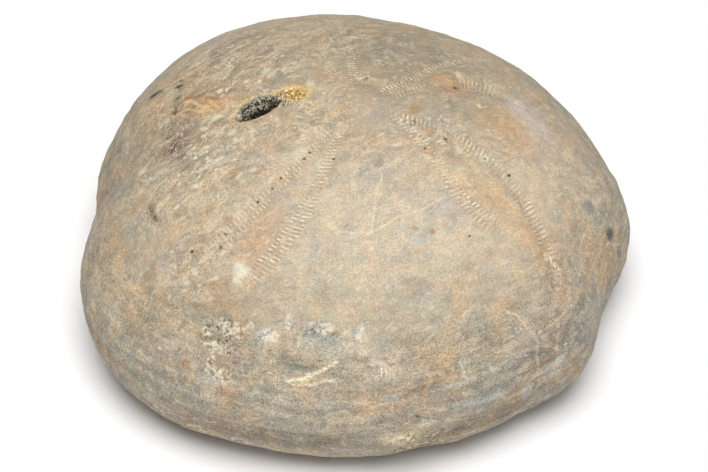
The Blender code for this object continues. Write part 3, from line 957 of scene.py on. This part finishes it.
def store(mesh, colours, marks):
    """Keeps the painted colours and the marks on the mesh, one value at each vertex."""
    layer = mesh.color_attributes.new("stone_colour", "FLOAT_COLOR", "POINT")
    opaque = np.column_stack((colours, np.ones(len(colours))))
    layer.data.foreach_set("color", opaque.astype(np.float32).ravel())
    for name, values in marks.items():
        mesh.attributes.new(name, "FLOAT", "POINT").data.foreach_set("value", values.astype(np.float32))


def make_urchin(stone):
    ball = make_ball()
    mesh = bpy.data.meshes.new("urchin_surface")
    ball.to_mesh(mesh)
    ball.free()
    directions = np.empty(len(mesh.vertices) * 3, np.float32)
    mesh.vertices.foreach_get("co", directions)
    azimuths, positions = surface_coordinates(directions.reshape(-1, 3).astype(float))
    smooth = surface_points(azimuths, positions)
    set_points(mesh, smooth)
    normals = vertex_normals(mesh)
    slits = slit_coordinates(smooth, normals, positions)
    crumble, pits, crumbly = crumbly_strength(smooth)
    crack_height, crack_paints = crack_strength(smooth, normals)
    features = SLIT_HEIGHT * MM * slit_ridges(*slits) + crumble + crack_height

    points = smooth + normals * solid_relief(azimuths, positions, smooth)[:, None]
    set_points(mesh, points)
    normals = vertex_normals(mesh)
    height = fine_relief(points, smooth, positions, features)
    set_points(mesh, points + normals * height[:, None])

    colours, marked = paint(positions, smooth, pits, crack_paints)
    store(mesh, colours, material_marks(smooth, positions, slits, crumbly, marked))
    mesh.materials.append(stone)
    mesh.shade_smooth()
    urchin = bpy.data.objects.new("urchin_surface", mesh)
    bpy.context.collection.objects.link(urchin)
    return urchin


# ---------------------------------------------------------------------------------------------
# Paint.


def linear(colour):
    """Linear light of an sRGB colour from 0 to 255."""
    share = np.array(colour, float) / 255.0
    return np.where(share <= 0.04045, share / 12.92, ((share + 0.055) / 1.055) ** 2.4)


def lay(colours, colour, strength, where=slice(None)):
    colours[where] += (linear(colour) - colours[where]) * np.clip(strength, 0.0, 1.0)[:, None]


def places_strength(points, places, elsewhere):
    """Strength at each point of the strongest of some round places, at least elsewhere's."""
    strength = np.full(len(points), elsewhere)
    for patch in places.values():
        strength = np.maximum(strength, patch[4] * bell(patch_distance(points, patch), 1.0))
    return strength


def paint(positions, points, pits, crack_paints):
    """Linear colours of the stone, by feature, with some painted light and shade, and how much each point
    is part of a small mark.
    """
    colours = np.tile(linear(STONE), (len(points), 1))
    marked = np.zeros(len(points))
    # Darker towards the margin: partly the stone's own colour, partly painted shade of the falloff towards
    # the rim.
    lay(colours, RIM_STONE_AND_SHADE, smooth_step(0.60, 0.95, positions))
    lay(colours, LOW_STONE, smooth_step(0.90, 1.05, positions))
    lay(colours, UNDERSIDE_STONE, smooth_step(1.5, 2.0, positions))
    for length, seed, octaves, tints in CLOUDS:
        cloud = noise_at(points, length, seed, octaves)
        for colour, start, full, strength in tints:
            lay(colours, colour, strength * smooth_step(start, full, cloud))
    seeds = (80.0, 81.0, 82.0)
    wobble = np.stack([noise_at(points, STAIN_WOBBLE_LENGTH, seed, octaves=2) for seed in seeds], axis=1)
    wobbled = points + STAIN_WOBBLE * wobble
    # Stains and the patches of painted light and shade, largest first.
    largest_first = sorted(STAINS_AND_PAINTED_LIGHT.values(), key=lambda painted_patch: -painted_patch[2] * painted_patch[3])
    for painted_patch in largest_first:
        sharpness = SMALL_STAIN_SHARPNESS if is_small(painted_patch) else STAIN_SHARPNESS
        share = painted_patch[5] * np.exp(-(patch_distance(wobbled, painted_patch) ** sharpness))
        lay(colours, painted_patch[4], share)
        if is_small(painted_patch):
            marked = np.maximum(marked, share)
    lay(colours, CRUST_SHADE, 0.45 * pits)
    for near, strength, colour in crack_paints:
        lay(colours, colour, strength, near)
        marked[near] = np.maximum(marked[near], strength)
    # Painted shade: a dark spot in each pinhole, where the light doesn't reach into the pit.
    for azimuth, position, radius in PINHOLES:
        shares = np.linalg.norm(points - place(azimuth, position), axis=1) / radius
        lay(colours, PINHOLE_PAINTED_SHADE, np.exp(-(shares**4)))
    paint_hole(colours, points)
    return colours, marked


def paint_hole(colours, points):
    """Orange on the shallow end and the rim beyond, pale grey stone on the far wall, black painted shadow
    below.
    """
    along, across, opening = pit_coordinates(points, HOLE)
    tail_along, tail_across, tail = pit_coordinates(points, HOLE_TAIL)
    either = np.maximum(opening, tail)
    far_side = np.maximum(smooth_step(-0.1, 0.5, across), smooth_step(-0.5, -0.9, along))
    around_tail = np.maximum(smooth_step(-0.3, 0.4, tail_across), smooth_step(0.3, 0.8, tail_along))
    rim_side = np.where(tail > opening, around_tail, far_side)
    ragged = 0.55 + 0.45 * noise_at(points, 1.0 * MM, seed=95.0, octaves=2)
    lay(colours, HOLE_RIM, ragged * smooth_step(0.0001, 0.006, either) * rim_side)
    tail_floor = smooth_step(0.04, 0.3, tail)
    lay(colours, HOLE_ORANGE, 0.9 * tail_floor)
    lay(colours, HOLE_GREY, tail_floor * smooth_step(0.3, -0.4, tail_along + 0.4 * tail_across))
    inside = smooth_step(0.02, 0.12, opening)
    lay(colours, HOLE_GREY, inside)
    # Painted shadow: black in the deep middle of the hole and on its lower side, where the light doesn't
    # reach.
    shadowed_side = np.maximum(smooth_step(0.25, 0.75, opening), smooth_step(0.3, -0.3, across))
    lay(colours, HOLE_PAINTED_SHADOW, inside * shadowed_side)
    lay(colours, HOLE_LUMP, 0.7 * inside * bell(np.hypot(along - 0.9, across - 0.3), 0.3))


# ---------------------------------------------------------------------------------------------
# Material.


def add_node(tree, kind, inputs=(), **settings):
    """A node with its settings, its inputs set by name to a value or linked to a socket."""
    node = tree.nodes.new(kind)
    for name, value in settings.items():
        setattr(node, name, value)
    for name, value in dict(inputs).items():
        if isinstance(value, bpy.types.NodeSocket):
            tree.links.new(value, node.inputs[name])
        else:
            node.inputs[name].default_value = value
    return node


def noise_node(tree, where, name):
    """The noise texture of that name in TEXTURES."""
    scale, detail, roughness, distortion = TEXTURES[name]
    inputs = {"Vector": where, "Scale": scale, "Detail": detail, "Roughness": roughness}
    return add_node(tree, "ShaderNodeTexNoise", {**inputs, "Distortion": distortion})


def noise_value(tree, where, name):
    return noise_node(tree, where, name).outputs["Fac"]


def mark(tree, name):
    """One of the surface's own attributes."""
    return add_node(tree, "ShaderNodeAttribute", attribute_name=name).outputs["Fac"]


def spread(tree, value, low, high, to_low, to_high):
    """value from low to high, stretched to the range from to_low to to_high and kept within it."""
    node = add_node(
        tree,
        "ShaderNodeMapRange",
        {"Value": value, "From Min": low, "From Max": high, "To Min": to_low, "To Max": to_high},
    )
    return node.outputs["Result"]


def level_of(tree, value, name):
    """value turned into the level of that name in LEVELS."""
    return spread(tree, value, *LEVELS[name])


def calculate(tree, operation, *values):
    return add_node(tree, "ShaderNodeMath", dict(enumerate(values)), operation=operation).outputs[0]


def product(tree, *values):
    result = values[0]
    for value in values[1:]:
        result = calculate(tree, "MULTIPLY", result, value)
    return result


def mix_colour(tree, blend, share, first, second):
    node = tree.nodes.new("ShaderNodeMix")
    node.data_type = "RGBA"
    node.blend_type = blend
    for name, value in (("Factor", share), ("A", first), ("B", second)):
        if isinstance(value, bpy.types.NodeSocket):
            tree.links.new(value, node.inputs[name])
        else:
            node.inputs[name].default_value = value
    return node.outputs["Result"]


def cover(tree, share, under, colour):
    """under, with a colour laid over it by a share that varies from place to place."""
    return mix_colour(tree, "MIX", share, under, (*linear(colour), 1.0))


def grey(tree, level):
    channels = {"Red": level, "Green": level, "Blue": level}
    return add_node(tree, "ShaderNodeCombineColor", channels).outputs["Color"]


def shade_by(tree, share, colour, value, name):
    """The colour times the level of that name, by a share."""
    return mix_colour(tree, "MULTIPLY", share, colour, grey(tree, level_of(tree, value, name)))


def tint_by(tree, colour, value, share):
    """The colour, cooler where the value is low and warmer where it is high."""
    warmth = spread(tree, value, 0.35, 0.65, 0.0, 1.0)
    tint = mix_colour(tree, "MIX", warmth, (*COOL_TINT, 1.0), (*WARM_TINT, 1.0))
    return mix_colour(tree, "MULTIPLY", share, colour, tint)


def stretched(tree, where, lie):
    """The place, turned and squeezed so that a texture's features come out long one way."""
    azimuth, scales = lie
    inputs = {"Vector": where, "Rotation": (0.0, 0.0, math.radians(azimuth)), "Scale": scales}
    return add_node(tree, "ShaderNodeMapping", inputs, vector_type="TEXTURE").outputs["Vector"]


def warped(tree, where):
    """The place, shifted here and there so that stretched textures don't all run one way."""
    wander = noise_node(tree, where, "warp").outputs["Color"]
    inputs = {0: wander, 1: (WARP_REACH, WARP_REACH, WARP_REACH), 2: where}
    return add_node(tree, "ShaderNodeVectorMath", inputs, operation="MULTIPLY_ADD").outputs["Vector"]


def flecks(tree, where, name):
    """Separate round flecks, or dashes if the place is stretched: 1 in a fleck, 0 outside."""
    scale, size, share = FLECKS[name]
    cells = add_node(tree, "ShaderNodeTexVoronoi", {"Vector": where, "Scale": scale})
    picked = add_node(tree, "ShaderNodeSeparateColor", {"Color": cells.outputs["Color"]}).outputs["Red"]
    picked = spread(tree, picked, 1.0 - share - 0.05, 1.0 - share + 0.05, 0.0, 1.0)
    return product(tree, spread(tree, cells.outputs["Distance"], 0.5 * size, size, 1.0, 0.0), picked)


def wisps(tree, where):
    """Thin wandering lines, broken into short pieces."""
    away = calculate(tree, "SUBTRACT", noise_value(tree, where, "wisps"), 0.5)
    line = level_of(tree, calculate(tree, "ABSOLUTE", away), "wisps")
    return product(tree, line, level_of(tree, noise_value(tree, where, "wisp_breaks"), "wisp_breaks"))


def uneven_by(tree, key):
    """A random value from 0 to 1, one for each value of key."""
    return add_node(tree, "ShaderNodeTexWhiteNoise", {"W": key}, noise_dimensions="1D").outputs["Value"]


def slit_pattern(tree):
    """The pore slits' ridges, and the whole band of each column, both from 0 to 1."""
    turns = mark(tree, "slit_turns")
    outward = mark(tree, "slit_outward")
    strength = mark(tree, "slit_strength")
    index = calculate(tree, "ROUND", turns)
    away = calculate(tree, "ABSOLUTE", calculate(tree, "SUBTRACT", turns, index))
    half_width = SLIT_HALF_WIDTH / SLIT_PITCH
    line = spread(tree, away, 0.5 * half_width, 1.2 * half_width, 1.0, 0.0)
    bands = []
    for middle, half_length in (INNER_COLUMN, OUTER_COLUMN):
        key = calculate(tree, "ADD", index, 0.37 * middle)
        reach = spread(tree, uneven_by(tree, key), 0.0, 1.0, 0.6 * half_length, 1.25 * half_length)
        distance = calculate(tree, "ABSOLUTE", calculate(tree, "SUBTRACT", outward, middle))
        bands.append(spread(tree, calculate(tree, "SUBTRACT", distance, reach), -0.08, 0.08, 1.0, 0.0))
    band = product(tree, calculate(tree, "MAXIMUM", *bands), strength)
    key = calculate(tree, "ADD", index, calculate(tree, "ROUND", calculate(tree, "MULTIPLY", outward, 0.6)))
    clearness = spread(tree, uneven_by(tree, key), 0.0, 0.7, 0.15, 1.0)
    return product(tree, line, band, clearness), band


def grainy_colour(tree, where, textures, wispy, layered):
    """The painted colour with its mottling, tints, streaks, layers and grain."""
    colour = add_node(tree, "ShaderNodeVertexColor", layer_name="stone_colour").outputs["Color"]
    rough = level_of(tree, calculate(tree, "MAXIMUM", wispy, layered), "unevenness")
    colour = shade_by(tree, rough, colour, textures["mottle"], "mottle")
    colour = tint_by(tree, colour, noise_value(tree, where, "broad_tint"), BROAD_TINT_SHARE)
    colour = tint_by(tree, colour, noise_value(tree, where, "fine_tint"), FINE_TINT_SHARE)
    hues = noise_node(tree, where, "hues").outputs["Color"]
    colour = mix_colour(tree, "OVERLAY", HUES_SHARE, colour, hues)
    colour = shade_by(tree, wispy, colour, textures["streaks"], "streaks")
    colour = shade_by(tree, layered, colour, textures["layers"], "layers")
    return shade_by(tree, rough, colour, textures["grain"], "grain")


def lay_wisps(tree, colour, where, diagonal, wispy, layered):
    """Cream blotches, brown hollows, and cream wisps, flecks, dashes and dots over the colour."""
    blotches = level_of(tree, noise_value(tree, diagonal, "blotches"), "blotches")
    colour = cover(tree, product(tree, blotches, wispy), colour, WISP_CREAM)
    hollows = level_of(tree, noise_value(tree, diagonal, "hollows"), "hollows")
    colour = cover(tree, product(tree, hollows, wispy), colour, HOLLOW_BROWN)
    along_layers = stretched(tree, where, DASH_LIE)
    either = calculate(tree, "MAXIMUM", layered, wispy)
    shares = (
        product(tree, wisps(tree, diagonal), wispy, WISPS_SHARE),
        product(tree, flecks(tree, diagonal, "wisp_flecks"), wispy, WISPS_SHARE),
        product(tree, flecks(tree, along_layers, "dashes"), layered, DASHES_SHARE),
        product(tree, flecks(tree, where, "dots"), either, DOTS_SHARE),
    )
    for share in shares:
        colour = cover(tree, share, colour, FLECK_CREAM)
    return colour


def lay_crumbs(tree, colour, where):
    """Pale and dark crumbs in the crumbly places, and black specks in the speckled ones."""
    crumbly = mark(tree, "crumbly")
    crumbs = noise_value(tree, where, "crumbs")
    pale = product(tree, level_of(tree, crumbs, "pale_crumbs"), crumbly)
    dark = product(tree, level_of(tree, crumbs, "dark_crumbs"), crumbly)
    colour = cover(tree, pale, colour, FLECK_CREAM)
    colour = cover(tree, dark, colour, CRUST_SHADE)
    specks = product(tree, flecks(tree, where, "specks"), mark(tree, "speckled"))
    return cover(tree, specks, colour, SPECK_BLACK)


def make_stone():
    stone = bpy.data.materials.new("fossil_stone_surface")
    stone.use_nodes = True
    tree = stone.node_tree
    shader = tree.nodes["Principled BSDF"]
    where = tree.nodes.new("ShaderNodeTexCoord").outputs["Object"]
    diagonal = stretched(tree, warped(tree, where), DIAGONAL_LIE)
    crystal = mark(tree, "crystal")
    wispy = mark(tree, "wispy")
    layered = mark(tree, "layered")
    textures = {
        "mottle": noise_value(tree, where, "mottle"),
        "grain": noise_value(tree, where, "grain"),
        "layers": noise_value(tree, stretched(tree, where, LAYER_LIE), "layers"),
        "streaks": noise_value(tree, diagonal, "streaks"),
    }

    colour = grainy_colour(tree, where, textures, wispy, layered)
    colour = lay_wisps(tree, colour, where, diagonal, wispy, layered)
    ridges, band = slit_pattern(tree)
    colour = cover(tree, calculate(tree, "MULTIPLY", band, SLIT_SHADE_SHARE), colour, SLIT_SHADE)
    colour = cover(tree, calculate(tree, "MULTIPLY", ridges, SLIT_CREAM_SHARE), colour, SLIT_CREAM)
    colour = lay_crumbs(tree, colour, where)
    colour = shade_by(tree, crystal, colour, noise_value(tree, where, "crystals"), "crystals")
    tree.links.new(colour, shader.inputs["Base Color"])

    shader.inputs["Specular IOR Level"].default_value = SPECULAR_LEVEL
    roughness = level_of(tree, textures["mottle"], "shine")
    shine = calculate(tree, "MULTIPLY", crystal, CRYSTAL_SHINE)
    tree.links.new(calculate(tree, "SUBTRACT", roughness, shine), shader.inputs["Roughness"])

    bumps = calculate(tree, "ADD", calculate(tree, "MULTIPLY", textures["grain"], 0.5), textures["mottle"])
    bumps = calculate(tree, "ADD", bumps, calculate(tree, "MULTIPLY", textures["streaks"], 0.5))
    inputs = {"Height": bumps, "Strength": BUMP_STRENGTH, "Distance": BUMP_DISTANCE}
    tree.links.new(add_node(tree, "ShaderNodeBump", inputs).outputs["Normal"], shader.inputs["Normal"])
    return stone


# ---------------------------------------------------------------------------------------------
# Stage.

# The camera stands in front of the right side, about 45 degrees above the floor.
CAMERA_DISTANCE = 480.0 * MM
CAMERA_ELEVATION = 45.0
CAMERA_LENS = 148.0
CAMERA_LOOKS_AT = (PLAN_CENTRE[0], PLAN_CENTRE[1], 15.0 * MM)
CAMERA_DROP = 2.69 * MM
CAMERA_NEAR = 0.01
CAMERA_FAR = 20.0

FLOOR_SIZE = 6.0
FLOOR_ALBEDO = 0.9
FLOOR_ROUGHNESS = 0.95
WORLD_STRENGTH = 0.09

# Broad lamps: azimuth and elevation that they shine from, strength, and width in degrees.
LAMPS = {
    "overhead_softbox": (0.0, 80.0, 2.62, 40.0),
    "front_softbox": (10.0, 60.0, 0.75, 40.0),
}


def direction_from(azimuth, elevation):
    """Unit vector from the middle towards a viewer; azimuth 0 stands at -Y, looking along +Y."""
    turn, rise = math.radians(azimuth), math.radians(elevation)
    return Vector((math.sin(turn) * math.cos(rise), -math.cos(turn) * math.cos(rise), math.sin(rise)))


def make_camera():
    lens = bpy.data.cameras.new("camera")
    lens.lens = CAMERA_LENS
    lens.clip_start = CAMERA_NEAR
    lens.clip_end = CAMERA_FAR
    camera = bpy.data.objects.new("camera", lens)
    back = direction_from(0.0, CAMERA_ELEVATION)
    up = direction_from(180.0, 90.0 - CAMERA_ELEVATION)
    middle = Vector(CAMERA_LOOKS_AT)
    camera.location = middle + back * CAMERA_DISTANCE
    looks_at = middle - up * CAMERA_DROP
    camera.rotation_euler = (looks_at - camera.location).to_track_quat("-Z", "Y").to_euler()
    bpy.context.collection.objects.link(camera)
    bpy.context.scene.camera = camera


def make_floor():
    sheet = bmesh.new()
    bmesh.ops.create_grid(sheet, x_segments=1, y_segments=1, size=FLOOR_SIZE / 2.0)
    mesh = bpy.data.meshes.new("floor")
    sheet.to_mesh(mesh)
    sheet.free()
    paper = bpy.data.materials.new("white_paper")
    paper.use_nodes = True
    shader = paper.node_tree.nodes["Principled BSDF"]
    shader.inputs["Base Color"].default_value = (FLOOR_ALBEDO, FLOOR_ALBEDO, FLOOR_ALBEDO, 1.0)
    shader.inputs["Roughness"].default_value = FLOOR_ROUGHNESS
    shader.inputs["Specular IOR Level"].default_value = 0.0
    mesh.materials.append(paper)
    floor = bpy.data.objects.new("floor", mesh)
    bpy.context.collection.objects.link(floor)


def make_lights():
    world = bpy.data.worlds.new("studio")
    world.use_nodes = True
    world.node_tree.nodes["Background"].inputs["Strength"].default_value = WORLD_STRENGTH
    world.node_tree.nodes["Background"].inputs["Color"].default_value = (1.0, 1.0, 1.0, 1.0)
    bpy.context.scene.world = world
    for name, (azimuth, elevation, strength, width) in LAMPS.items():
        lamp = bpy.data.lights.new(name, "SUN")
        lamp.energy = strength
        lamp.angle = math.radians(width)
        softbox = bpy.data.objects.new(name, lamp)
        back = direction_from(azimuth, elevation)
        softbox.location = back
        softbox.rotation_euler = (-back).to_track_quat("-Z", "Y").to_euler()
        bpy.context.collection.objects.link(softbox)
    bpy.context.scene.view_settings.view_transform = "Standard"


def main():
    urchin = make_urchin(make_stone())
    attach(urchin, "root")
    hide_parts("sea_urchin")
    make_floor()
    make_lights()
    make_camera()


main()
